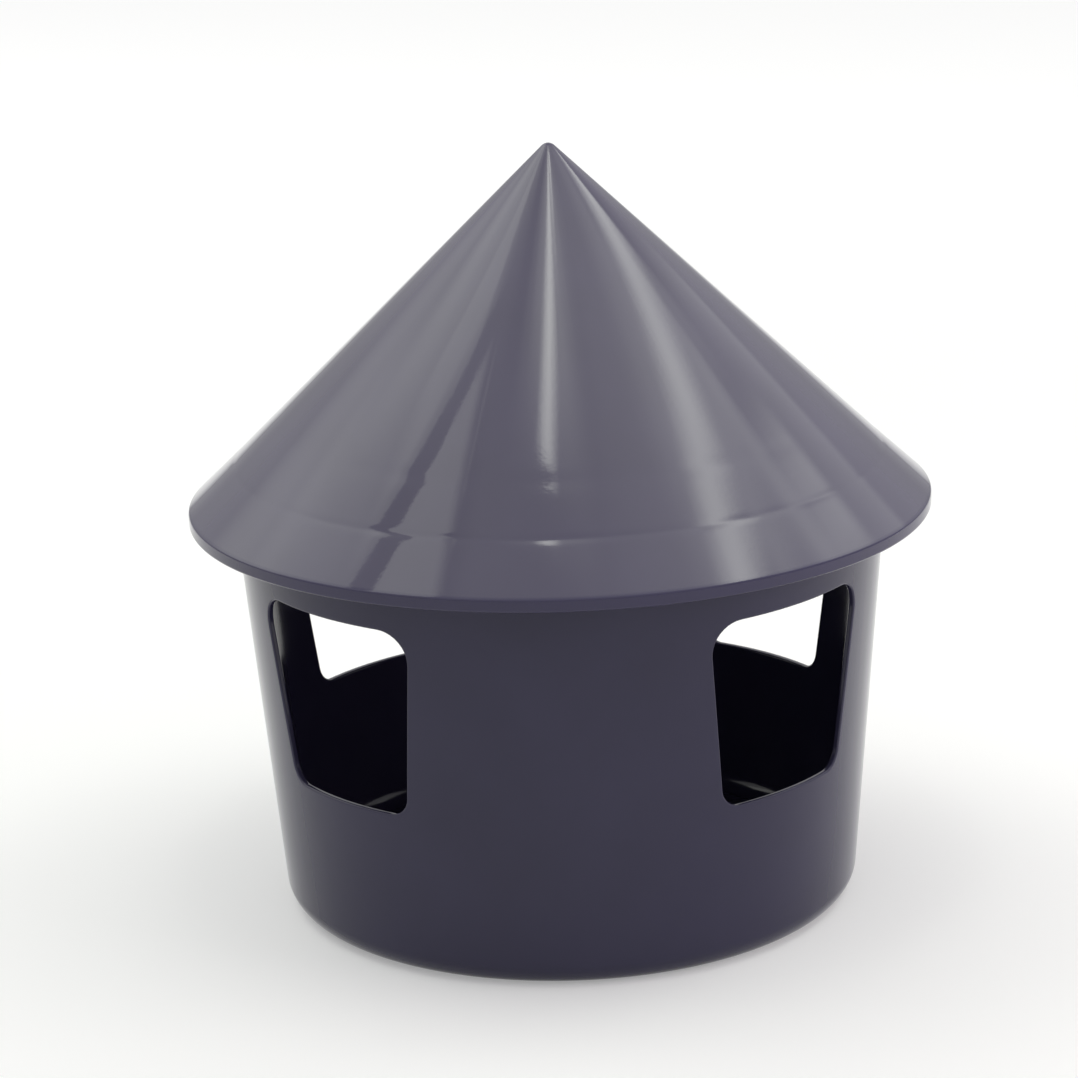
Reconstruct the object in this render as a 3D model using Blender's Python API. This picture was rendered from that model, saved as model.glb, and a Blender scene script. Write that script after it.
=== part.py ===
"""A pigeon drinker: a round tub with four drinking windows and a conical roof that lifts off.

Metres, +Z up. The origin is the centre of the tub's underside, and a window faces each of +X, +Y, -X and -Y.
"""

import math

import bmesh
import bpy
from mathutils import Matrix, Vector

MM = 0.001

# The tub, from the ground up: its height is the bowl, the windows and the band over them
BOWL_HEIGHT = 57.0 * MM  # to the window sills
WINDOW_HEIGHT = 64.0 * MM
BAND_HEIGHT = 28.5 * MM
TUB_HEIGHT = BOWL_HEIGHT + WINDOW_HEIGHT + BAND_HEIGHT

# The tub's wall and floor
TUB_RIM_RADIUS = 110.7 * MM  # outside
TUB_WALL_DRAFT = math.radians(4.9)  # the wall leans out by this as it rises
TUB_WALL = 2.3 * MM
TUB_FLOOR = 2.3 * MM
BASE_EDGE_RADIUS = 8.7 * MM
RIM_EDGE_RADIUS = 0.7 * MM

# The flat ring that the tub stands on, round a shallow recess
FOOT_WIDTH = 8.0 * MM
FOOT_HEIGHT = 1.5 * MM

# The drinking windows: trapezoids with round corners, wider at the head
WINDOW_COUNT = 4
WINDOW_SILL_WIDTH = 53.5 * MM
WINDOW_HEAD_WIDTH = 69.5 * MM
WINDOW_SILL_CORNER = 7.0 * MM
WINDOW_HEAD_CORNER = 10.0 * MM

# The roof's cone and its eave, which ends in a short upright lip
ROOF_PITCH = math.radians(44.0)
ROOF_WALL = 2.2 * MM  # square to the slope
ROOF_OVERHANG = 14.3 * MM  # past the tub's rim
TIP_RADIUS = 3.0 * MM
LIP_DEPTH = 2.7 * MM  # below the cone's underside
LIP_WALL = 2.2 * MM
LIP_EDGE_RADIUS = 0.9 * MM

# The underside of the roof: a collar that drops inside the tub's rim, and a stiffening ring within it
COLLAR_DEPTH = 9.0 * MM
COLLAR_WALL = 2.0 * MM
STIFFENER_INSET = 6.0 * MM
STIFFENER_DEPTH = 5.0 * MM
STIFFENER_WALL = 1.6 * MM

# Clearances between the two mouldings
SEAT_GAP = 0.3 * MM  # the roof's shoulder above the tub's rim
COLLAR_GAP = 0.8 * MM  # all round, between the collar and the tub's wall

# How finely round shapes are cut
SEGMENTS = 72
CORNER_STEPS = 4
EDGE_STEPS = 2
WELD = 0.001 * MM

# Colours and finish
TUB_COLOUR = (0.047, 0.045, 0.062, 1.0)
ROOF_COLOUR = (0.055, 0.052, 0.072, 1.0)
PLASTIC_ROUGHNESS = 0.28


def wall_radius(height):
    """Outside radius of the tub's wall at a height."""
    return TUB_RIM_RADIUS - (TUB_HEIGHT - height) * math.tan(TUB_WALL_DRAFT)


def inner_radius(height):
    """Inside radius of the tub's wall at a height."""
    return wall_radius(height) - TUB_WALL / math.cos(TUB_WALL_DRAFT)


def rounded(corners):
    """The outline through (point, radius, steps) corners: a corner with a radius becomes an arc."""
    outline = []
    for index, (corner, radius, steps) in enumerate(corners):
        if not radius:
            outline.append(corner)
            continue
        back = (corners[index - 1][0] - corner).normalized()
        ahead = (corners[(index + 1) % len(corners)][0] - corner).normalized()
        half_angle = back.angle(ahead) / 2
        centre = corner + (back + ahead).normalized() * radius / math.sin(half_angle)
        reach = radius / math.tan(half_angle)
        first = corner + back * reach - centre
        last = corner + ahead * reach - centre
        for step in range(steps + 1):
            turned = first.normalized().slerp(last.normalized(), step / steps)
            outline.append(centre + turned * radius)
    return outline


def plastic(name, colour):
    material = bpy.data.materials.new(name)
    material.use_nodes = True
    shader = material.node_tree.nodes["Principled BSDF"]
    shader.inputs["Base Color"].default_value = colour
    shader.inputs["Roughness"].default_value = PLASTIC_ROUGHNESS
    shader.inputs["Metallic"].default_value = 0.0
    material.diffuse_color = colour
    return material


def object_of(name, shape, material=None):
    """An object from a bmesh, with smooth faces and sharp edges where the shape turns a corner."""
    mesh = bpy.data.meshes.new(name)
    shape.to_mesh(mesh)
    shape.free()
    mesh.shade_smooth()
    mesh.set_sharp_from_angle(angle=math.radians(35))
    made = bpy.data.objects.new(name, mesh)
    bpy.context.scene.collection.objects.link(made)
    if material:
        mesh.materials.append(material)
    return made


def turned_solid(name, profile, material):
    """A solid of revolution about Z. The profile runs from the axis round the section and back to it."""
    shape = bmesh.new()
    points = [shape.verts.new((point.x, 0, point.y)) for point in profile]
    edges = [shape.edges.new(pair) for pair in zip(points, points[1:])]
    bmesh.ops.spin(
        shape,
        geom=points + edges,
        cent=(0, 0, 0),
        axis=(0, 0, 1),
        angle=math.tau,
        steps=SEGMENTS,
        use_merge=True,
    )
    bmesh.ops.remove_doubles(shape, verts=shape.verts, dist=WELD)
    bmesh.ops.recalc_face_normals(shape, faces=shape.faces)
    return object_of(name, shape, material)


def tub_profile():
    """Half section of the tub as (radius, height) points, from the underside's centre to the floor's."""
    rim_edge = min(RIM_EDGE_RADIUS, 0.4 * TUB_WALL)
    floor_edge = max(BASE_EDGE_RADIUS - TUB_WALL, 0)
    foot_inner = wall_radius(0) - BASE_EDGE_RADIUS - FOOT_WIDTH
    floor_top = FOOT_HEIGHT + TUB_FLOOR
    corners = [
        (Vector((0, FOOT_HEIGHT)), 0, 0),
        (Vector((foot_inner - FOOT_HEIGHT, FOOT_HEIGHT)), 0, 0),
        (Vector((foot_inner, 0)), 0, 0),
        (Vector((wall_radius(0), 0)), BASE_EDGE_RADIUS, CORNER_STEPS),
        (Vector((wall_radius(TUB_HEIGHT), TUB_HEIGHT)), rim_edge, EDGE_STEPS),
        (Vector((inner_radius(TUB_HEIGHT), TUB_HEIGHT)), rim_edge, EDGE_STEPS),
        (Vector((inner_radius(floor_top), floor_top)), floor_edge, CORNER_STEPS),
        (Vector((0, floor_top)), 0, 0),
    ]
    return rounded(corners)


def window_cutter(index):
    """The solid that opens one window: its outline, drawn out from the axis to past the wall."""
    head_height = BOWL_HEIGHT + WINDOW_HEIGHT
    half_sill = WINDOW_SILL_WIDTH / 2
    half_head = WINDOW_HEAD_WIDTH / 2
    outline = rounded(
        [
            (Vector((-half_sill, BOWL_HEIGHT)), WINDOW_SILL_CORNER, CORNER_STEPS),
            (Vector((half_sill, BOWL_HEIGHT)), WINDOW_SILL_CORNER, CORNER_STEPS),
            (Vector((half_head, head_height)), WINDOW_HEAD_CORNER, CORNER_STEPS),
            (Vector((-half_head, head_height)), WINDOW_HEAD_CORNER, CORNER_STEPS),
        ]
    )
    shape = bmesh.new()
    face = shape.faces.new([shape.verts.new((0, across, up)) for across, up in outline])
    drawn = bmesh.ops.extrude_face_region(shape, geom=[face])["geom"]
    moved = [part for part in drawn if isinstance(part, bmesh.types.BMVert)]
    bmesh.ops.translate(shape, verts=moved, vec=(2 * TUB_RIM_RADIUS, 0, 0))
    turn = Matrix.Rotation(math.tau * index / WINDOW_COUNT, 3, "Z")
    bmesh.ops.rotate(shape, verts=shape.verts, cent=(0, 0, 0), matrix=turn)
    bmesh.ops.recalc_face_normals(shape, faces=shape.faces)
    cutter = object_of(f"window_cutter_{index + 1}", shape)
    cutter.hide_render = True
    cutter.display_type = "WIRE"
    return cutter


def make_tub():
    tub = turned_solid("tub", tub_profile(), plastic("tub_plastic", TUB_COLOUR))
    for index in range(WINDOW_COUNT):
        opening = tub.modifiers.new(f"Window {index + 1}", "BOOLEAN")
        opening.operation = "DIFFERENCE"
        opening.solver = "EXACT"
        opening.object = window_cutter(index)
    return tub


def roof_profile():
    """Half section of the roof as (radius, height above its seat) points, from the tip to the hollow's top."""
    upright_wall = ROOF_WALL / math.cos(ROOF_PITCH)

    def underside(radius):
        return (TUB_RIM_RADIUS - radius) * math.tan(ROOF_PITCH)

    def collar_face(height):
        return inner_radius(TUB_HEIGHT + SEAT_GAP + height) - COLLAR_GAP

    eave_radius = TUB_RIM_RADIUS + ROOF_OVERHANG
    lip_inner = eave_radius - LIP_WALL
    lip_bottom = underside(lip_inner) - LIP_DEPTH
    lip_edge = min(LIP_EDGE_RADIUS, 0.45 * LIP_WALL)
    collar_inner = collar_face(-COLLAR_DEPTH) - COLLAR_WALL
    ring_outer = collar_inner - STIFFENER_INSET
    ring_inner = ring_outer - STIFFENER_WALL
    ring_bottom = underside(ring_outer) - STIFFENER_DEPTH
    corners = [
        (Vector((0, underside(0) + upright_wall)), 0, 0),
        (Vector((eave_radius, underside(eave_radius) + upright_wall)), lip_edge, EDGE_STEPS),
        (Vector((eave_radius, lip_bottom)), lip_edge, EDGE_STEPS),
        (Vector((lip_inner, lip_bottom)), lip_edge, EDGE_STEPS),
        (Vector((lip_inner, underside(lip_inner))), 0, 0),
        (Vector((TUB_RIM_RADIUS, 0)), 0, 0),
        (Vector((collar_face(0), 0)), 0, 0),
        (Vector((collar_face(-COLLAR_DEPTH), -COLLAR_DEPTH)), 0, 0),
        (Vector((collar_inner, -COLLAR_DEPTH)), 0, 0),
        (Vector((collar_inner, underside(collar_inner))), 0, 0),
        (Vector((ring_outer, underside(ring_outer))), 0, 0),
        (Vector((ring_outer, ring_bottom)), 0, 0),
        (Vector((ring_inner, ring_bottom)), 0, 0),
        (Vector((ring_inner, underside(ring_inner))), 0, 0),
        (Vector((0, underside(0))), 0, 0),
    ]
    return tip_arc(corners[0][0]) + rounded(corners)[1:]


def tip_arc(apex):
    """The blunt tip under the cone's apex, from the axis out to where the arc runs into the slope."""
    centre = apex - Vector((0, TIP_RADIUS / math.cos(ROOF_PITCH)))
    return [
        centre + Vector((math.sin(lean), math.cos(lean))) * TIP_RADIUS
        for lean in (ROOF_PITCH * step / CORNER_STEPS for step in range(CORNER_STEPS + 1))
    ]


def make_roof():
    roof = turned_solid("roof", roof_profile(), plastic("roof_plastic", ROOF_COLOUR))
    roof.location.z = TUB_HEIGHT + SEAT_GAP
    return roof


for leftover in list(bpy.data.objects):
    bpy.data.objects.remove(leftover)
make_tub()
make_roof()
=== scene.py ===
"""A pigeon drinker's glossy plastic tub and roof, made to the sizes of a shared frame, in a small studio."""

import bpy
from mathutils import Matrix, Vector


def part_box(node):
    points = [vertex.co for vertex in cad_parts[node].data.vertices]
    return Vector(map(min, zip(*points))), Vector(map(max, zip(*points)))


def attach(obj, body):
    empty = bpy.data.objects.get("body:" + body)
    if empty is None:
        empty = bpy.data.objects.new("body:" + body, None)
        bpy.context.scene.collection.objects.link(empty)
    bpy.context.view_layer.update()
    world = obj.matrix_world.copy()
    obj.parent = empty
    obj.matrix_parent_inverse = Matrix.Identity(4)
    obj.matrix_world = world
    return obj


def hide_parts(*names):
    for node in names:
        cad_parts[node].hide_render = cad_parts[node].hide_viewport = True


bl_info = {
    "name": "Pigeon Drinker",
    "version": (1, 0, 0),
    "blender": (4, 5, 0),
    "location": "3D View > Sidebar > Drinker",
    "description": "Models a pigeon drinker's tub and roof and sets up a studio for them",
    "category": "Object",
}

import math

import bmesh
import bpy
from bpy.props import FloatProperty, FloatVectorProperty, PointerProperty
from mathutils import Matrix, Vector

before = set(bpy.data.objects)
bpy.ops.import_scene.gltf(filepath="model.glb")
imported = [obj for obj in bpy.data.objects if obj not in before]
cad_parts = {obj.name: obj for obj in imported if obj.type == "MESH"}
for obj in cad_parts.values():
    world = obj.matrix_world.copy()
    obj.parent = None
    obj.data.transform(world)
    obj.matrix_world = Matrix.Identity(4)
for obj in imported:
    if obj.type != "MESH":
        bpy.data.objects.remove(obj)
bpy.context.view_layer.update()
TUB_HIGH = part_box("tub")[1]
ROOF_LOW, ROOF_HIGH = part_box("roof")

MM = 0.001
WELD = 0.01 * MM  # vertices nearer to each other than this become one
AXIS = (0, 0, 1)
ORIGIN = (0, 0, 0)
SHARP_ANGLE = math.radians(40)

# Steps round the axis: a window panel and the plain wall beside it make a quarter of the tub
STEPS_ROUND = 288
STEP = math.tau / STEPS_ROUND
WINDOWS = 4
PANEL_STEPS = 40
PANEL_HALF = PANEL_STEPS * STEP / 2
PLAIN_STEPS = STEPS_ROUND // WINDOWS - PANEL_STEPS

# A window's outline has as many steps as the edge of its panel, so that the two bridge one to one
PANEL_RISE_STEPS = 32
PANEL_RINGS = 5
PANEL_MARGIN = 10 * MM  # of wall above and below a window
CORNER_SEGMENTS = 10
SILL_STEPS = PANEL_STEPS - CORNER_SEGMENTS
SIDE_STEPS = PANEL_RISE_STEPS - CORNER_SEGMENTS

# Segments of the roundings that have a radius among the settings
WINDOW_EDGE_SEGMENTS = 4
RIM_SEGMENTS = 6
BASE_SEGMENTS = 16
BOWL_SEGMENTS = 12
TIP_SEGMENTS = 10
LIP_SEGMENTS = 8

# Small roundings, as radius and segments. The ribs are the collar and the stiffening ring.
NO_ROUNDING = (0, 0)
FOOT_RAMP = (0.8 * MM, 4)
FOOT_EDGE = (0.5 * MM, 4)
LIP_ROOT = (0.5 * MM, 3)
SEAT_EDGE = (0.4 * MM, 3)
RIB_EDGE = (0.5 * MM, 4)
RIB_ROOT = (0.6 * MM, 3)

# Cuts along the roof's slope, finer from a share of the tub's rim radius outwards
SLOPE_CUTS = 40
RING_START = 0.8
RING_CUTS = 130

# Where the slope has sunk a little over thicker plastic: the share of the tub's rim radius, the share of the
# full depth, and the width
COLLAR_SINK = (0.852, 0.6, 2.2 * MM)
SHOULDER_SINK = (0.9865, 1.0, 1.0 * MM)

# The plastic: faint flow lines, a fine skin over them, and clouds that change its colour and gloss a little
FLOW_SCALE = 9.0  # round the axis
FLOW_DRIFT = 5.0  # along the axis
FLOW_DETAIL = 2.5
FLOW_DEPTH = 0.04 * MM
SKIN_SCALE = 700.0
SKIN_DETAIL = 2.0
SKIN_DEPTH = 0.005 * MM
CLOUD_SCALE = 22.0
CLOUD_DETAIL = 3.0
CLOUD_SPAN = (0.3, 0.7)
CLOUD_TINTS = (0.93, 1.07)
TUB_SPECULAR = 0.28
TUB_ROUGHNESS = (0.10, 0.14)
ROOF_SPECULAR = 0.50
ROOF_ROUGHNESS = (0.03, 0.06)
# Painted shade on the roof's upright lip under the eave: the share of the colour left there, per channel, and
# the band that it covers
RIM_PAINTED_SHADE = (0.48, 0.44, 0.72)
RIM_SHADE_BAND = (1.2 * MM, 0.3 * MM)  # in from the eave, where the painted shade begins and where it is full

# The floor and the sky as the eye sees them. The floor's spans are metres from the part, and the sky's is the
# sine of the height over the horizon.
FLOOR_SEGMENTS = 128
GLOW_RISE_SPAN = (0.35, 1.6)
GLOW_FALL_SPAN = (2.3, 6.5)
GLOW_LEFT = 0.25
SKY_SPAN = (0.1, 0.36)

# The camera's sensor in millimetres, and the nearest and farthest that it sees in metres
SENSOR_WIDTH = 36
CLIP_START = 0.01
CLIP_END = 100

# Flat lamps under the ceiling, each 1 mm under the last. A lamp has a name, its start and end as metres
# (right, away) from the camera's side, a width, a radiance, and how much of its length and of its width fades
# towards the edges.
CEILING = 1.1
LAMP_DROP = 1 * MM
LAMP_COLOUR = (0.98, 1.0, 0.93)
LAMPS = (
    ("left_far_glow", (-0.60, 0.00), (-1.40, 0.90), 0.50, 0.40, (0.30, 0.50)),
    ("left_near_glow", (-0.20, -0.15), (-0.90, 0.80), 0.80, 1.40, (0.35, 0.50)),
    ("left_edge_strip", (-0.83, 0.12), (-0.36, 0.02), 0.16, 0.60, (0.30, 0.20)),
    ("left_front_panel", (-1.10, -0.09), (-0.40, -0.18), 0.15, 1.40, (0.10, 0.05)),
    ("left_cross_bar", (-0.42, -0.23), (-0.37, -0.12), 0.03, 0.50, (0.30, 0.50)),
    ("front_fill", (-0.50, -0.10), (0.75, -0.10), 0.80, 0.40, (0.15, 0.30)),
    ("right_front_fill", (0.00, -0.05), (0.80, -0.05), 0.80, 0.65, (0.30, 0.40)),
    ("overhead_glow", (-0.06, -0.34), (0.08, 0.20), 0.45, 2.10, (0.25, 0.50)),
    ("overhead_strip", (-0.06, -0.31), (0.01, -0.08), 0.13, 4.80, (0.08, 0.50)),
    ("right_strip", (0.60, -0.30), (0.86, 0.75), 0.22, 3.10, (0.15, 0.50)),
    ("right_glow", (0.55, -0.30), (0.88, 0.80), 0.55, 1.00, (0.20, 0.50)),
    ("right_near_panel", (0.73, -0.10), (1.00, 0.50), 0.40, 1.30, (0.30, 0.50)),
    ("right_outer_strip", (0.95, 0.10), (1.35, 0.95), 0.25, 1.20, (0.30, 0.50)),
    ("right_panel", (1.10, 0.10), (1.70, 1.90), 0.80, 0.50, (0.20, 0.20)),
)

# The same for the widest lamp, which hangs over all the others and fades on its far side alone
LEFT_PANEL = ("left_panel", (-2.53, 1.41), (-0.18, 0.91), 2.00, 0.95, (0.05, 0.70))

# A lamp beside the part: its name, its place and aim as metres (right, away, up), its size and its radiance
SIDE_COLOUR = (1.0, 0.88, 0.92)
SIDE_LAMP = ("right_side_panel", (0.97, -0.26, 0.39), (0, 0, 0.1), (0.8, 0.6), 2.1)


def length(name, description, default):
    """A setting in metres."""
    return FloatProperty(
        name=name, description=description, default=default, min=0, unit="LENGTH", precision=4
    )


def angle(name, description, degrees):
    """A setting that is an angle."""
    return FloatProperty(
        name=name, description=description, default=math.radians(degrees), subtype="ANGLE"
    )


def colour(name, description, default):
    """A setting that is a colour, in linear values."""
    return FloatVectorProperty(
        name=name, description=description, default=default, size=3, min=0, max=1, subtype="COLOR"
    )


def factor(name, description, default, highest=1.0):
    """A setting between nothing and its highest value."""
    return FloatProperty(
        name=name, description=description, default=default, min=0, max=highest, subtype="FACTOR"
    )


class TubSettings(bpy.types.PropertyGroup):
    """Sizes and colour of the tub"""

    rim_radius: length("Rim radius", "Outside radius at the rim", TUB_HIGH.x)
    height: length("Height", "From the floor to the rim", TUB_HIGH.z)
    draft: angle("Draft", "How far the wall leans out as it rises", 4.9)
    wall: length("Wall", "Thickness of the wall", 2.3 * MM)
    floor: length("Floor", "Thickness of the bowl's floor", 2.3 * MM)
    base_edge: length("Base edge", "Outside radius between the wall and the underside", 8.7 * MM)
    rim_edge: length("Rim edge", "Rounding of the rim", 0.7 * MM)
    foot_width: length("Foot width", "Width of the flat ring that the tub stands on", 8.0 * MM)
    foot_height: length("Foot height", "Depth of the recess inside the foot ring", 1.5 * MM)
    bowl_height: length("Bowl height", "From the floor to the window sills", 57.0 * MM)
    window_height: length("Window height", "From sill to head", 64.0 * MM)
    sill_width: length("Sill width", "Width of a window at its sill", 53.5 * MM)
    head_width: length("Head width", "Width of a window at its head", 69.5 * MM)
    sill_corner: length("Sill corner", "Corner radius at the sill", 7.0 * MM)
    head_corner: length("Head corner", "Corner radius at the head", 10.0 * MM)
    window_edge: length("Window edge", "Rounding of the windows' edges", 0.8 * MM)
    # Darker than the roof's colour, though both are one plastic: painted shade on the upright wall
    colour: colour("Colour", "Colour of the plastic", (0.037, 0.034, 0.069))


class RoofSettings(bpy.types.PropertyGroup):
    """Sizes and colour of the roof"""

    eave_radius: length("Eave radius", "Outside radius at the eave", ROOF_HIGH.x)
    tip_height: length("Tip height", "From the floor to the tip", ROOF_HIGH.z)
    pitch: angle("Pitch", "Slope of the cone", 44.0)
    wall: length("Wall", "Thickness of the cone, square to its slope", 2.2 * MM)
    tip_radius: length("Tip radius", "Rounding of the tip", 3.0 * MM)
    lip_wall: length("Lip wall", "Thickness of the lip under the eave", 2.2 * MM)
    lip_edge: length("Lip edge", "Rounding of the lip", 0.9 * MM)
    seat_gap: length("Seat gap", "From the tub's rim to the shoulder that rests on it", 0.3 * MM)
    collar_gap: length("Collar gap", "Play between the collar and the tub's wall", 0.8 * MM)
    collar_depth: length("Collar depth", "How far the collar drops inside the rim", 9.0 * MM)
    collar_wall: length("Collar wall", "Thickness of the collar at its foot", 2.0 * MM)
    stiffener_inset: length("Stiffener inset", "From the collar in to the stiffening ring", 6.0 * MM)
    stiffener_depth: length("Stiffener depth", "How far the stiffening ring stands out of the cone", 5.0 * MM)
    stiffener_wall: length("Stiffener wall", "Thickness of the stiffening ring", 1.6 * MM)
    sink_depth: length("Sink depth", "Depth of the rings where thick plastic has shrunk", 0.025 * MM)
    flare: angle("Flare", "How much flatter the slope is past the outer sink ring", 0.95)
    # Lighter than the tub's colour, though both are one plastic: painted light from above on the slope
    colour: colour("Colour", "Colour of the plastic", (0.058, 0.051, 0.097))


class StudioSettings(bpy.types.PropertyGroup):
    """Floor, light and camera"""

    floor_radius: length("Floor radius", "Radius of the floor", 8.0)
    floor_colour: colour("Floor colour", "Colour of the floor", (0.72, 0.72, 0.72))
    near_glow: factor("Near glow", "How much the floor whitens for the eye near the part", 0.28)
    far_glow: factor("Far glow", "How much the floor whitens for the eye in the distance", 0.5)
    sky: factor("Sky", "Strength of the even light from all round", 0.55, 2.0)
    horizon: factor("Horizon", "How white the sky is for the eye at the horizon, under its white top", 0.55)
    azimuth: angle("Azimuth", "Camera's direction from the part's front", 46.35)
    elevation: angle("Elevation", "Camera's height over the horizon", 16.16)
    roll: angle("Roll", "Camera's turn about its line of sight", 2.0)
    distance: length("Distance", "From the camera to the point that it looks at", 1.243)
    aim_height: length("Aim height", "Height of the point that the camera looks at", 123.03 * MM)
    aim_side: FloatProperty(
        name="Aim side",
        description="How far right of the axis the camera looks",
        default=-7.45 * MM,
        unit="LENGTH",
        precision=4,
    )
    lens: FloatProperty(
        name="Lens", description="Focal length for a 36 mm sensor", default=122.4, min=1, unit="CAMERA"
    )


def rounded_wire(shape, corners, closed=False):
    """A wire in the XZ plane through (x, z, radius, segments) corners, rounded where a radius is given."""
    verts = [shape.verts.new((x, 0, z)) for x, z, _, _ in corners]
    pairs = list(zip(verts, verts[1:]))
    if closed:
        pairs.append((verts[-1], verts[0]))
    for pair in pairs:
        shape.edges.new(pair)
    arcs = []
    for index, (_, _, radius, segments) in enumerate(corners):
        if radius:
            corner = verts[index].co
            back = verts[index - 1].co - corner
            ahead = verts[(index + 1) % len(verts)].co - corner
            arcs.append((verts[index], radius / math.tan(back.angle(ahead) / 2), segments))
    for vert, reach, segments in arcs:
        bmesh.ops.bevel(
            shape,
            geom=[vert],
            offset=reach,
            offset_type="OFFSET",
            segments=segments,
            profile=0.5,
            affect="VERTICES",
            material=-1,
        )


def with_ends(edges):
    """Some edges and their vertices, each once and in a fixed order."""
    return list(dict.fromkeys(vert for edge in edges for vert in edge.verts)) + edges


def turn_wires(shape):
    """Spins every loose wire once round the axis."""
    wires = [edge for edge in shape.edges if edge.is_wire]
    bmesh.ops.spin(
        shape,
        geom=with_ends(wires),
        cent=ORIGIN,
        axis=AXIS,
        angle=math.tau,
        steps=STEPS_ROUND,
        use_merge=True,
    )


def finished(name, shape, body, node):
    """The piece that stands for a CAD node: closed, facing outwards, smooth but for its corners."""
    bmesh.ops.remove_doubles(shape, verts=shape.verts, dist=WELD)
    bmesh.ops.dissolve_degenerate(shape, edges=shape.edges, dist=WELD)
    bmesh.ops.recalc_face_normals(shape, faces=shape.faces)
    mesh = bpy.data.meshes.new(name)
    shape.to_mesh(mesh)
    shape.free()
    mesh.shade_smooth()
    mesh.set_sharp_from_angle(angle=SHARP_ANGLE)
    piece = bpy.data.objects.new(name, mesh)
    bpy.context.scene.collection.objects.link(piece)
    weighting = piece.modifiers.new("Weighted normals", "WEIGHTED_NORMAL")
    weighting.keep_sharp = True
    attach(piece, body)
    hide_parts(node)
    return piece


def wall_radius(tub, height):
    """Outside radius of the tub's wall at a height."""
    return tub.rim_radius - (tub.height - height) * math.tan(tub.draft)


def inner_radius(tub, height):
    """Inside radius of the tub's wall at a height."""
    return wall_radius(tub, height) - tub.wall / math.cos(tub.draft)


def panel_heights(tub):
    """Heights of a window panel's lower and upper edge."""
    return tub.bowl_height - PANEL_MARGIN, tub.bowl_height + tub.window_height + PANEL_MARGIN


def window_panel(tub, radius_at):
    """One skin of the wall round a window: a panel of 50 degrees with the window's outline cut in it."""
    sill = tub.bowl_height
    head = sill + tub.window_height
    half_sill = tub.sill_width / 2
    half_head = tub.head_width / 2
    shape = bmesh.new()
    rounded_wire(
        shape,
        [
            (-half_sill, sill, tub.sill_corner, CORNER_SEGMENTS),
            (half_sill, sill, tub.sill_corner, CORNER_SEGMENTS),
            (half_head, head, tub.head_corner, CORNER_SEGMENTS),
            (-half_head, head, tub.head_corner, CORNER_SEGMENTS),
        ],
        closed=True,
    )
    straight = sorted(shape.edges, key=lambda edge: edge.calc_length())[-4:]
    for edge in straight:
        level = abs(edge.verts[0].co.z - edge.verts[1].co.z) < WELD
        steps = SILL_STEPS if level else SIDE_STEPS
        bmesh.ops.subdivide_edges(shape, edges=[edge], cuts=steps - 1)
    for vert in shape.verts:
        vert.co.x = math.asin(vert.co.x / radius_at(vert.co.z))
    hole = list(shape.edges)

    # Here x is still an angle in radians, and the panel's own edge gets the steps of the bands that it meets
    low, high = panel_heights(tub)
    places = ((-PANEL_HALF, low), (PANEL_HALF, low), (PANEL_HALF, high), (-PANEL_HALF, high))
    corners = [shape.verts.new((turn, 0, height)) for turn, height in places]
    sides = [shape.edges.new(pair) for pair in zip(corners, corners[1:] + corners[:1])]
    for index, edge in enumerate(sides):
        steps = PANEL_RISE_STEPS if index % 2 else PANEL_STEPS
        bmesh.ops.subdivide_edges(shape, edges=[edge], cuts=steps - 1)
    loops = list(shape.edges)
    around = [edge for edge in loops if edge not in hole]
    bmesh.ops.bridge_loops(shape, edges=hole + around)
    radial = [edge for edge in shape.edges if edge not in loops]
    bmesh.ops.subdivide_edges(shape, edges=radial, cuts=PANEL_RINGS)
    for vert in shape.verts:
        turn, height = vert.co.x, vert.co.z
        radius = radius_at(height)
        vert.co = (radius * math.cos(turn), radius * math.sin(turn), height)
    return shape


def joined(shapes):
    """One bmesh from several."""
    whole = bmesh.new()
    for shape in shapes:
        carrier = bpy.data.meshes.new("carrier")
        shape.to_mesh(carrier)
        shape.free()
        whole.from_mesh(carrier)
        bpy.data.meshes.remove(carrier)
    return whole


def edge_angle(edge):
    """Direction of an edge's middle round the axis."""
    middle = (edge.verts[0].co + edge.verts[1].co) / 2
    return math.atan2(middle.y, middle.x)


def window_quarter(tub):
    """A quarter of the wall: both skins of a window panel, the window's reveal and the wall beside it."""
    skins = [
        window_panel(tub, lambda height: wall_radius(tub, height)),
        window_panel(tub, lambda height: inner_radius(tub, height)),
    ]
    shape = joined(skins)
    low, high = panel_heights(tub)
    rims, side = [], []
    for edge in shape.edges:
        if edge.is_boundary:
            level = all(min(abs(vert.co.z - low), abs(vert.co.z - high)) < WELD for vert in edge.verts)
            if abs(abs(edge_angle(edge)) - PANEL_HALF) < STEP / 10:
                if edge_angle(edge) > 0:
                    side.append(edge)
            elif not level:
                rims.append(edge)
    reveal = bmesh.ops.bridge_loops(shape, edges=rims)["faces"]
    bmesh.ops.recalc_face_normals(shape, faces=shape.faces)
    rims = set(rims)
    corners = dict.fromkeys(edge for face in reveal for edge in face.edges if edge in rims)
    bmesh.ops.bevel(
        shape,
        geom=list(corners),
        offset=tub.window_edge,
        offset_type="OFFSET",
        segments=WINDOW_EDGE_SEGMENTS,
        profile=0.5,
        affect="EDGES",
        material=-1,
        clamp_overlap=True,
    )
    bmesh.ops.spin(
        shape,
        geom=with_ends([edge for edge in side if edge.is_valid]),
        cent=ORIGIN,
        axis=AXIS,
        angle=PLAIN_STEPS * STEP,
        steps=PLAIN_STEPS,
    )
    return shape


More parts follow.
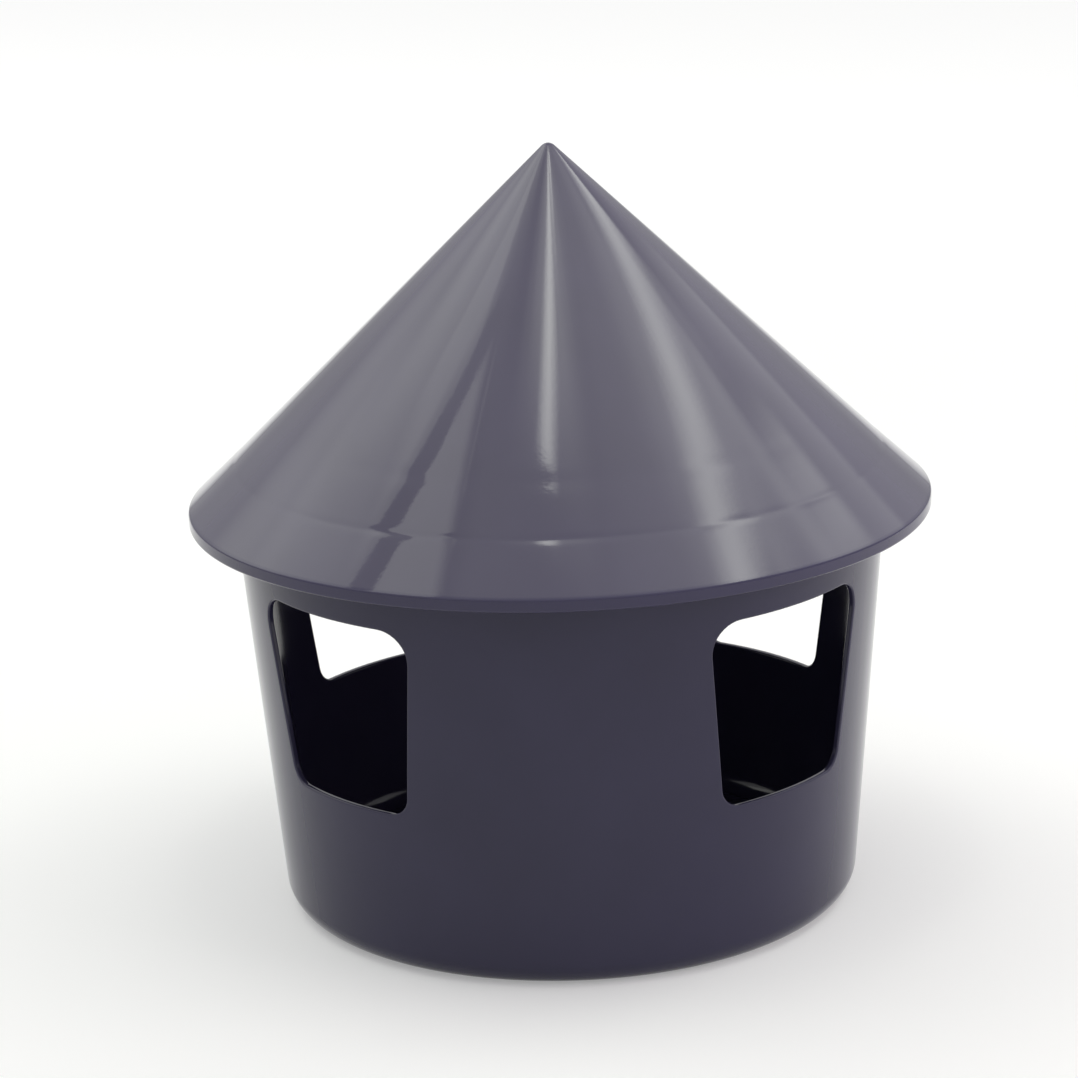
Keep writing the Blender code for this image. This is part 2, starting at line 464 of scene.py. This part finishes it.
def tub_bands(tub):
    """The tub below and above its windows, with open edges that meet the window panels."""
    low, high = panel_heights(tub)
    foot_inner = wall_radius(tub, 0) - tub.base_edge - tub.foot_width
    floor_top = tub.foot_height + tub.floor
    shape = bmesh.new()
    rounded_wire(
        shape,
        [
            (0, tub.foot_height, *NO_ROUNDING),
            (foot_inner - tub.foot_height, tub.foot_height, *FOOT_RAMP),
            (foot_inner, 0, *FOOT_EDGE),
            (wall_radius(tub, 0), 0, tub.base_edge, BASE_SEGMENTS),
            (wall_radius(tub, low), low, *NO_ROUNDING),
        ],
    )
    rounded_wire(
        shape,
        [
            (inner_radius(tub, low), low, *NO_ROUNDING),
            (inner_radius(tub, floor_top), floor_top, tub.base_edge - tub.wall, BOWL_SEGMENTS),
            (0, floor_top, *NO_ROUNDING),
        ],
    )
    rounded_wire(
        shape,
        [
            (wall_radius(tub, high), high, *NO_ROUNDING),
            (wall_radius(tub, tub.height), tub.height, tub.rim_edge, RIM_SEGMENTS),
            (inner_radius(tub, tub.height), tub.height, tub.rim_edge, RIM_SEGMENTS),
            (inner_radius(tub, high), high, *NO_ROUNDING),
        ],
    )
    turn_wires(shape)
    return shape


def tub_shell(tub):
    """The whole tub as one closed skin."""
    quarter = window_quarter(tub)
    bmesh.ops.spin(
        quarter,
        geom=list(quarter.verts) + list(quarter.edges) + list(quarter.faces),
        cent=ORIGIN,
        axis=AXIS,
        angle=math.tau * (WINDOWS - 1) / WINDOWS,
        steps=WINDOWS - 1,
        use_duplicate=True,
    )
    return joined([quarter, tub_bands(tub)])


def roof_corners(tub, roof):
    """Half section of the roof as wire corners, from the tip to the hollow's top."""
    seat = tub.height + roof.seat_gap
    slope = math.tan(roof.pitch)
    upright_wall = roof.wall / math.cos(roof.pitch)

    def underside(radius):
        return seat + (tub.rim_radius - radius) * slope

    def collar_face(height):
        return inner_radius(tub, height) - roof.collar_gap

    tip_reach = roof.tip_radius * math.tan(roof.pitch / 2)
    lip_inner = roof.eave_radius - roof.lip_wall
    lip_bottom = ROOF_LOW.z
    collar_bottom = seat - roof.collar_depth
    collar_inner = collar_face(collar_bottom) - roof.collar_wall
    ring_outer = collar_inner - roof.stiffener_inset
    ring_inner = ring_outer - roof.stiffener_wall
    ring_bottom = underside(ring_outer) - roof.stiffener_depth
    return [
        (0, roof.tip_height, *NO_ROUNDING),
        (tip_reach, roof.tip_height, roof.tip_radius, TIP_SEGMENTS),
        (roof.eave_radius, underside(roof.eave_radius) + upright_wall, roof.lip_edge, LIP_SEGMENTS),
        (roof.eave_radius, lip_bottom, roof.lip_edge, LIP_SEGMENTS),
        (lip_inner, lip_bottom, roof.lip_edge, LIP_SEGMENTS),
        (lip_inner, underside(lip_inner), *LIP_ROOT),
        (tub.rim_radius, seat, *SEAT_EDGE),
        (collar_face(seat), seat, *SEAT_EDGE),
        (collar_face(collar_bottom), collar_bottom, *RIB_EDGE),
        (collar_inner, collar_bottom, *RIB_EDGE),
        (collar_inner, underside(collar_inner), *RIB_ROOT),
        (ring_outer, underside(ring_outer), *RIB_ROOT),
        (ring_outer, ring_bottom, *RIB_EDGE),
        (ring_inner, ring_bottom, *RIB_EDGE),
        (ring_inner, underside(ring_inner), *RIB_ROOT),
        (0, underside(0), *NO_ROUNDING),
    ]


def sink(tub, roof, radius):
    """How deep the slope has sunk at a radius, over the collar and over the shoulder on the tub's rim."""
    return sum(
        roof.sink_depth * depth * math.exp(-(((radius - place * tub.rim_radius) / width) ** 2))
        for place, depth, width in (COLLAR_SINK, SHOULDER_SINK)
    )


def roof_shell(tub, roof):
    """The whole roof as one closed skin, with two faint sink rings and a slight flare past the outer one."""
    shape = bmesh.new()
    rounded_wire(shape, roof_corners(tub, roof))
    slopes = sorted(shape.edges, key=lambda edge: edge.calc_length())[-2:]
    outer = max(slopes, key=lambda edge: edge.verts[0].co.x + edge.verts[1].co.x)
    tip_end, eave_end = sorted(outer.verts, key=lambda vert: vert.co.x)
    before = set(shape.verts)
    share = (RING_START * tub.rim_radius - tip_end.co.x) / (eave_end.co.x - tip_end.co.x)
    bmesh.utils.edge_split(outer, tip_end, share)
    upper = max(tip_end.link_edges, key=bmesh.types.BMEdge.calc_length)
    lower = max(eave_end.link_edges, key=bmesh.types.BMEdge.calc_length)
    bmesh.ops.subdivide_edges(shape, edges=[upper], cuts=SLOPE_CUTS)
    bmesh.ops.subdivide_edges(shape, edges=[lower], cuts=RING_CUTS)
    inward = Vector((-math.sin(roof.pitch), 0, -math.cos(roof.pitch)))
    for vert in shape.verts:
        if vert not in before:
            vert.co += inward * sink(tub, roof, vert.co.x)

    # Past the outer ring both faces of the wall rise alike, and the lip's lower edge stays
    knee = SHOULDER_SINK[0] * tub.rim_radius
    rise = math.tan(roof.pitch) - math.tan(roof.pitch - roof.flare)
    for vert in shape.verts:
        if vert.co.x > knee and vert.co.z > ROOF_LOW.z + roof.lip_wall:
            vert.co.z += (vert.co.x - knee) * rise
    turn_wires(shape)
    return shape


def node(tree, kind, inputs=None, **settings):
    """Adds a shader node. An input is a value or another node's socket."""
    made = tree.nodes.new(kind)
    for name, value in settings.items():
        setattr(made, name, value)
    for name, value in (inputs or {}).items():
        if isinstance(value, bpy.types.NodeSocket):
            tree.links.new(value, made.inputs[name])
        else:
            made.inputs[name].default_value = value
    return made


def maths(tree, operation, *values):
    """The result of a maths node on numbers or sockets."""
    return node(tree, "ShaderNodeMath", dict(enumerate(values)), operation=operation).outputs[0]


def vector_maths(tree, operation, *vectors):
    """The result of a vector maths node. A vector is three numbers or a socket."""
    made = node(tree, "ShaderNodeVectorMath", dict(enumerate(vectors)), operation=operation)
    return made.outputs["Value" if operation == "LENGTH" else "Vector"]


def mapped(tree, value, span=(0, 1), levels=(0, 1), easing="SMOOTHSTEP"):
    """Levels between two ends, as a value goes along its span, and no further."""
    start, end = span
    low, high = levels
    inputs = {"Value": value, "From Min": start, "From Max": end, "To Min": low, "To Max": high}
    return node(tree, "ShaderNodeMapRange", inputs, interpolation_type=easing).outputs[0]


def noise(tree, place, scale, detail):
    """Soft noise between 0 and 1."""
    inputs = {"Vector": place, "Scale": scale, "Detail": detail}
    return node(tree, "ShaderNodeTexNoise", inputs).outputs["Fac"]


def plastic(name, base, specular, roughness, rim=None):
    """Glossy moulded plastic, with painted shade that darkens it towards its rim where the rim's radius is
    given.
    """
    material = bpy.data.materials.new(name)
    material.use_nodes = True
    tree = material.node_tree
    shader = tree.nodes["Principled BSDF"]
    place = node(tree, "ShaderNodeTexCoord").outputs["Object"]
    flat = vector_maths(tree, "MULTIPLY", place, (1, 1, 0))
    around = vector_maths(tree, "NORMALIZE", flat)
    turned = vector_maths(tree, "MULTIPLY", around, (FLOW_SCALE, FLOW_SCALE, FLOW_SCALE))
    drift = vector_maths(tree, "MULTIPLY", place, (0, 0, FLOW_DRIFT))
    lines = noise(tree, vector_maths(tree, "ADD", turned, drift), 1.0, FLOW_DETAIL)
    skin = noise(tree, place, SKIN_SCALE, SKIN_DETAIL)
    cloud = noise(tree, place, CLOUD_SCALE, CLOUD_DETAIL)

    flow_bump = {"Height": lines, "Strength": 1.0, "Distance": FLOW_DEPTH}
    flow_bump = node(tree, "ShaderNodeBump", flow_bump).outputs["Normal"]
    skin_bump = {"Height": skin, "Strength": 1.0, "Distance": SKIN_DEPTH, "Normal": flow_bump}
    skin_bump = node(tree, "ShaderNodeBump", skin_bump).outputs["Normal"]
    tree.links.new(skin_bump, shader.inputs["Normal"])

    tint = node(tree, "ShaderNodeValToRGB", {"Fac": cloud})
    for stop, position, strength in zip(tint.color_ramp.elements, CLOUD_SPAN, CLOUD_TINTS):
        stop.position = position
        stop.color = [channel * strength for channel in base] + [1]
    shade = tint.outputs["Color"]
    if rim:
        # Painted shade: a narrow band inside the rim darkens the colour, for the shade on the lip's upright
        # face
        reach = vector_maths(tree, "LENGTH", flat)
        shade_band = mapped(tree, reach, [rim - inset for inset in RIM_SHADE_BAND])
        painted_shade = vector_maths(tree, "MULTIPLY", shade, RIM_PAINTED_SHADE)
        mix = {"Factor": shade_band, 6: shade, 7: painted_shade}  # the node's two colours are its inputs 6 and 7
        shade = node(tree, "ShaderNodeMix", mix, data_type="RGBA").outputs[2]
    tree.links.new(shade, shader.inputs["Base Color"])

    gloss = mapped(tree, cloud, CLOUD_SPAN, roughness, "LINEAR")
    tree.links.new(gloss, shader.inputs["Roughness"])
    shader.inputs["Specular IOR Level"].default_value = specular
    material.diffuse_color = [*base, 1]
    return material


def from_camera(point):
    """A place given as (right, away, up) from the camera's side, in the part's own axes."""
    turn = bpy.context.scene.drinker_studio.azimuth
    return Matrix.Rotation(turn, 3, "Z") @ Vector(point)


def area_lamp(name, size, radiance, tint):
    """A flat soft lamp, which shines down until it is turned."""
    lamp = bpy.data.lights.new(name, "AREA")
    lamp.shape = "RECTANGLE"
    lamp.size, lamp.size_y = size
    lamp.energy = radiance * lamp.size * lamp.size_y * math.pi
    lamp.color = tint
    holder = bpy.data.objects.new(name, lamp)
    bpy.context.scene.collection.objects.link(holder)
    return holder


def fade_lamp(lamp, fades, far_side_only):
    """Fades a lamp over shares of its length and width, at both ends and at both sides or the far one."""
    lamp.use_nodes = True
    tree = lamp.node_tree
    spot = node(tree, "ShaderNodeNewGeometry").outputs["Parametric"]
    along, across, _ = node(tree, "ShaderNodeSeparateXYZ", {0: spot}).outputs
    level = 1.0
    for place, fade, one_side in ((along, fades[0], False), (across, fades[1], far_side_only)):
        far = maths(tree, "SUBTRACT", place, 0.5)
        if not one_side:
            far = maths(tree, "ABSOLUTE", far)
        level = maths(tree, "MULTIPLY", level, mapped(tree, far, (0.5, 0.5 - fade)))
    tree.links.new(level, tree.nodes["Emission"].inputs["Strength"])


def ceiling_lamp(name, start, end, width, radiance, fades, height, far_side_only=False):
    """A lamp under the ceiling from start to end. Its far side is the one on the left of that way."""
    start, end = (from_camera((*point, height)) for point in (start, end))
    along = end - start
    holder = area_lamp(name, (along.length, width), radiance, LAMP_COLOUR)
    fade_lamp(holder.data, fades, far_side_only)
    turn = Matrix.Rotation(math.atan2(along.y, along.x), 4, "Z")
    holder.matrix_world = Matrix.Translation((start + end) / 2) @ turn


def side_lamp(name, place, aim, size, radiance):
    """A lamp beside the part that mirrors don't show."""
    place, aim = from_camera(place), from_camera(aim)
    holder = area_lamp(name, size, radiance, SIDE_COLOUR)
    holder.visible_glossy = False
    facing = (aim - place).to_track_quat("-Z", "Y").to_matrix().to_4x4()
    holder.matrix_world = Matrix.Translation(place) @ facing


def make_lamps():
    """Hangs the lamps under the ceiling, the highest first, and stands one beside the part."""
    ceiling_lamp(*LEFT_PANEL, CEILING + LAMP_DROP, far_side_only=True)
    for index, lamp in enumerate(LAMPS):
        ceiling_lamp(*lamp, CEILING - index * LAMP_DROP)
    side_lamp(*SIDE_LAMP)


def seen(tree):
    """1 where a camera, mirror or glass ray looks, otherwise 0."""
    path = node(tree, "ShaderNodeLightPath").outputs
    some = maths(tree, "MAXIMUM", path["Is Camera Ray"], path["Is Glossy Ray"])
    return maths(tree, "MAXIMUM", some, path["Is Transmission Ray"])


def make_floor(studio):
    """A pale disc that grows whiter for the eye away from the part, and greyer again towards the horizon."""
    shape = bmesh.new()
    bmesh.ops.create_circle(shape, cap_ends=True, segments=FLOOR_SEGMENTS, radius=studio.floor_radius)
    mesh = bpy.data.meshes.new("studio_floor")
    shape.to_mesh(mesh)
    shape.free()
    floor = bpy.data.objects.new("studio_floor", mesh)
    bpy.context.scene.collection.objects.link(floor)
    material = bpy.data.materials.new("studio_floor")
    material.use_nodes = True
    tree = material.node_tree
    tree.nodes.remove(tree.nodes["Principled BSDF"])
    place = node(tree, "ShaderNodeTexCoord").outputs["Object"]
    away = vector_maths(tree, "LENGTH", place)
    rise = mapped(tree, away, GLOW_RISE_SPAN, (studio.near_glow, studio.far_glow))
    fall = mapped(tree, away, GLOW_FALL_SPAN, (1, GLOW_LEFT))
    level = maths(tree, "MULTIPLY", seen(tree), maths(tree, "MULTIPLY", rise, fall))
    paint = node(tree, "ShaderNodeBsdfDiffuse", {"Color": (*studio.floor_colour, 1)})
    glow = node(tree, "ShaderNodeEmission", {"Color": (1, 1, 1, 1), "Strength": level})
    both = node(tree, "ShaderNodeAddShader", {0: paint.outputs[0], 1: glow.outputs[0]})
    tree.links.new(both.outputs[0], tree.nodes["Material Output"].inputs["Surface"])
    mesh.materials.append(material)


def make_sky(studio):
    """An even light from all round that the eye sees as white, a little greyer at the horizon."""
    world = bpy.data.worlds.new("studio_sky")
    world.use_nodes = True
    tree = world.node_tree
    heading = node(tree, "ShaderNodeTexCoord").outputs["Generated"]
    height = node(tree, "ShaderNodeSeparateXYZ", {0: heading}).outputs["Z"]
    wall = mapped(tree, height, SKY_SPAN, (studio.horizon, 1), "LINEAR")
    level = mapped(tree, seen(tree), levels=(studio.sky, wall), easing="LINEAR")
    background = tree.nodes["Background"]
    background.inputs["Color"].default_value = (1, 1, 1, 1)
    tree.links.new(level, background.inputs["Strength"])
    bpy.context.scene.world = world


def make_camera(studio):
    """The camera, turned about its line of sight and looking a little beside the axis."""
    camera = bpy.data.objects.new("camera", bpy.data.cameras.new("camera"))
    bpy.context.scene.collection.objects.link(camera)
    camera.data.sensor_width = SENSOR_WIDTH
    camera.data.lens = studio.lens
    camera.data.clip_start = CLIP_START
    camera.data.clip_end = CLIP_END
    aim = from_camera((studio.aim_side, 0, studio.aim_height))
    back = from_camera((0, -math.cos(studio.elevation), math.sin(studio.elevation)))
    right = from_camera((1, 0, 0))
    facing = Matrix((right, back.cross(right), back)).transposed()
    rolled = facing @ Matrix.Rotation(-studio.roll, 3, "Z")
    camera.matrix_world = Matrix.Translation(aim + back * studio.distance) @ rolled.to_4x4()
    bpy.context.scene.camera = camera


class DRINKER_OT_tub(bpy.types.Operator):
    """Make the tub with its four windows"""

    bl_idname = "drinker.make_tub"
    bl_label = "Make Tub"

    def execute(self, context):
        tub = context.scene.drinker_tub
        piece = finished("tub_moulding", tub_shell(tub), "tub", "tub")
        material = plastic("tub_gloss_plastic", tub.colour, TUB_SPECULAR, TUB_ROUGHNESS)
        piece.data.materials.append(material)
        return {"FINISHED"}


class DRINKER_OT_roof(bpy.types.Operator):
    """Make the conical roof"""

    bl_idname = "drinker.make_roof"
    bl_label = "Make Roof"

    def execute(self, context):
        tub = context.scene.drinker_tub
        roof = context.scene.drinker_roof
        piece = finished("roof_moulding", roof_shell(tub, roof), "roof", "roof")
        finish = (ROOF_SPECULAR, ROOF_ROUGHNESS)
        material = plastic("roof_gloss_plastic", roof.colour, *finish, rim=roof.eave_radius)
        piece.data.materials.append(material)
        return {"FINISHED"}


class DRINKER_OT_studio(bpy.types.Operator):
    """Set up the floor, the light and the camera"""

    bl_idname = "drinker.make_studio"
    bl_label = "Make Studio"

    def execute(self, context):
        studio = context.scene.drinker_studio
        make_floor(studio)
        make_sky(studio)
        make_lamps()
        make_camera(studio)
        context.scene.view_settings.view_transform = "Standard"
        return {"FINISHED"}


class DRINKER_PT_panel(bpy.types.Panel):
    """Sizes, colours and the buttons that make the pieces"""

    bl_idname = "DRINKER_PT_panel"
    bl_label = "Pigeon Drinker"
    bl_space_type = "VIEW_3D"
    bl_region_type = "UI"
    bl_category = "Drinker"

    def draw(self, context):
        groups = (
            ("Tub", context.scene.drinker_tub, DRINKER_OT_tub),
            ("Roof", context.scene.drinker_roof, DRINKER_OT_roof),
            ("Studio", context.scene.drinker_studio, DRINKER_OT_studio),
        )
        for title, settings, operator in groups:
            box = self.layout.box()
            box.label(text=title)
            for name in settings.__annotations__:
                box.prop(settings, name)
            box.operator(operator.bl_idname)


CLASSES = (
    TubSettings,
    RoofSettings,
    StudioSettings,
    DRINKER_OT_tub,
    DRINKER_OT_roof,
    DRINKER_OT_studio,
    DRINKER_PT_panel,
)


def register():
    for cls in CLASSES:
        bpy.utils.register_class(cls)
    bpy.types.Scene.drinker_tub = PointerProperty(type=TubSettings)
    bpy.types.Scene.drinker_roof = PointerProperty(type=RoofSettings)
    bpy.types.Scene.drinker_studio = PointerProperty(type=StudioSettings)


def unregister():
    del bpy.types.Scene.drinker_studio
    del bpy.types.Scene.drinker_roof
    del bpy.types.Scene.drinker_tub
    for cls in reversed(CLASSES):
        bpy.utils.unregister_class(cls)


def main():
    register()
    bpy.ops.drinker.make_tub()
    bpy.ops.drinker.make_roof()
    bpy.ops.drinker.make_studio()


if __name__ == "__main__":
    main()
